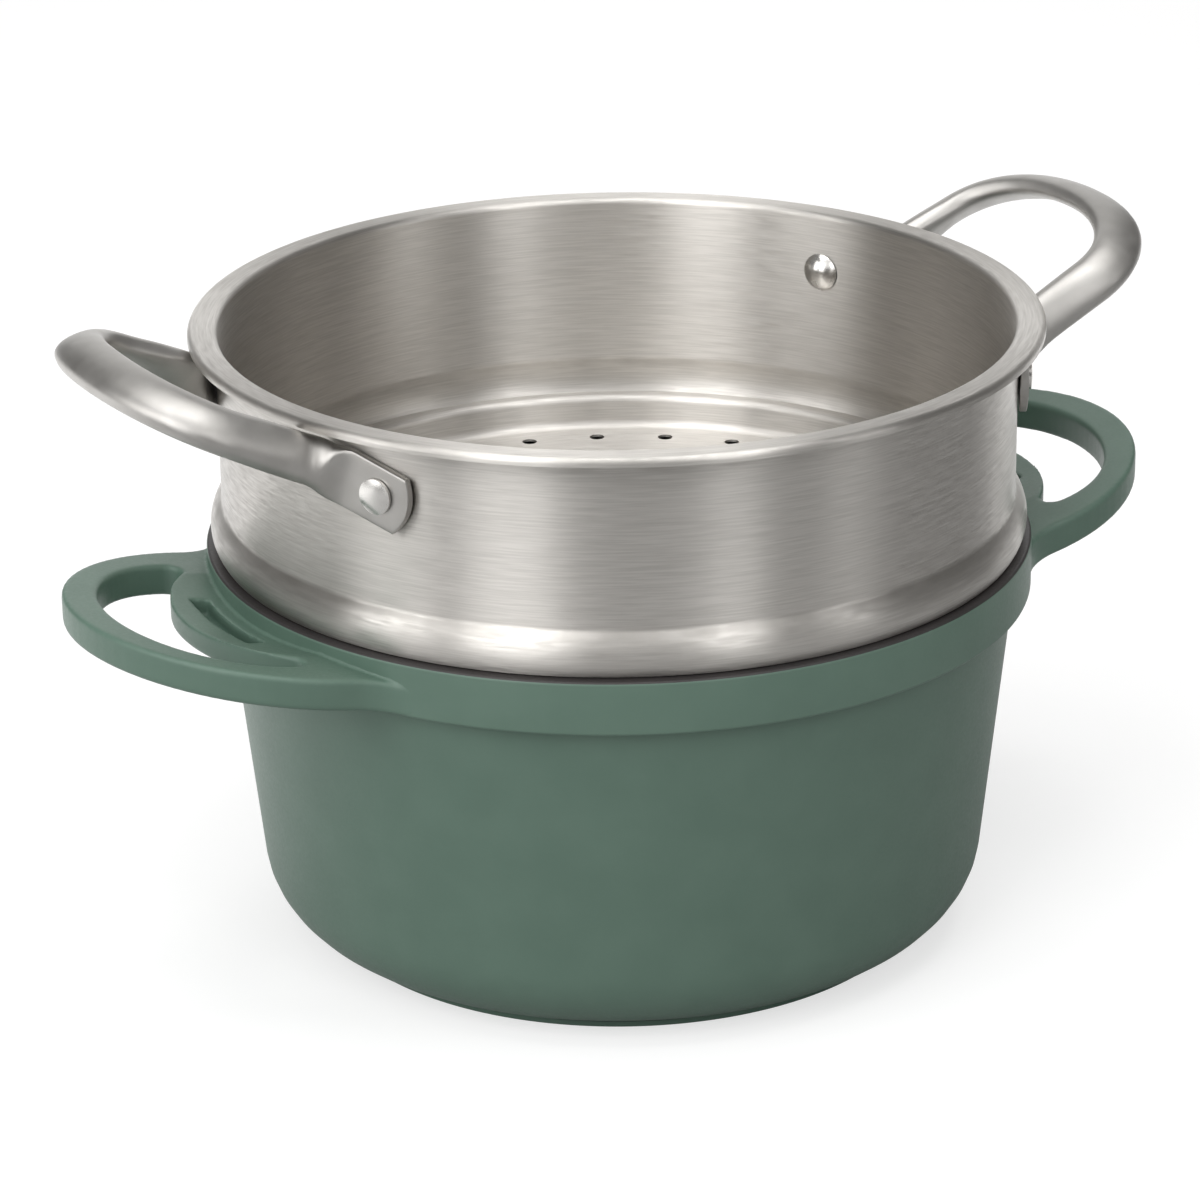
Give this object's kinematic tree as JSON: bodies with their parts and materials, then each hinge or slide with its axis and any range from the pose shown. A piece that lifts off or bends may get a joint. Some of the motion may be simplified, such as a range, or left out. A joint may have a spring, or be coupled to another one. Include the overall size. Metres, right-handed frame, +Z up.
{
  "type": "steamer pot",
  "caption": "Cast stockpot with loop handles and a lift-out steel steamer with a perforated floor standing in its mouth.",
  "frame": {"origin": "middle of the underside, at the centre of the footprint", "axes": "+Z up along the axis of the pot, +X towards the right handle, +Y to the rear"},
  "size_m": [0.358, 0.2578, 0.208],
  "materials": {
    "green_coating": "matte green coating outside, dark non-stick coating inside, on cast aluminium",
    "disc_steel": "turned",
    "sheet_steel": "brushed round the axis",
    "handle_steel": "satin polished",
    "rivet_steel": "polished"
  },
  "bodies": {
    "pot": {"pot_body": "green_coating", "induction_disc": "disc_steel"},
    "steamer": {"steamer_basket": "sheet_steel", "steamer_handle_right": "handle_steel", "steamer_handle_left": "handle_steel", "rivet_right_front": "rivet_steel", "rivet_right_rear": "rivet_steel", "rivet_left_rear": "rivet_steel", "rivet_left_front": "rivet_steel"}
  },
  "joints": [
    {"name": "steamer_lift", "type": "slide", "parent": "pot", "child": "steamer", "axis": [0, 0, 1], "range_m": [0, 0.15]}
  ]
}
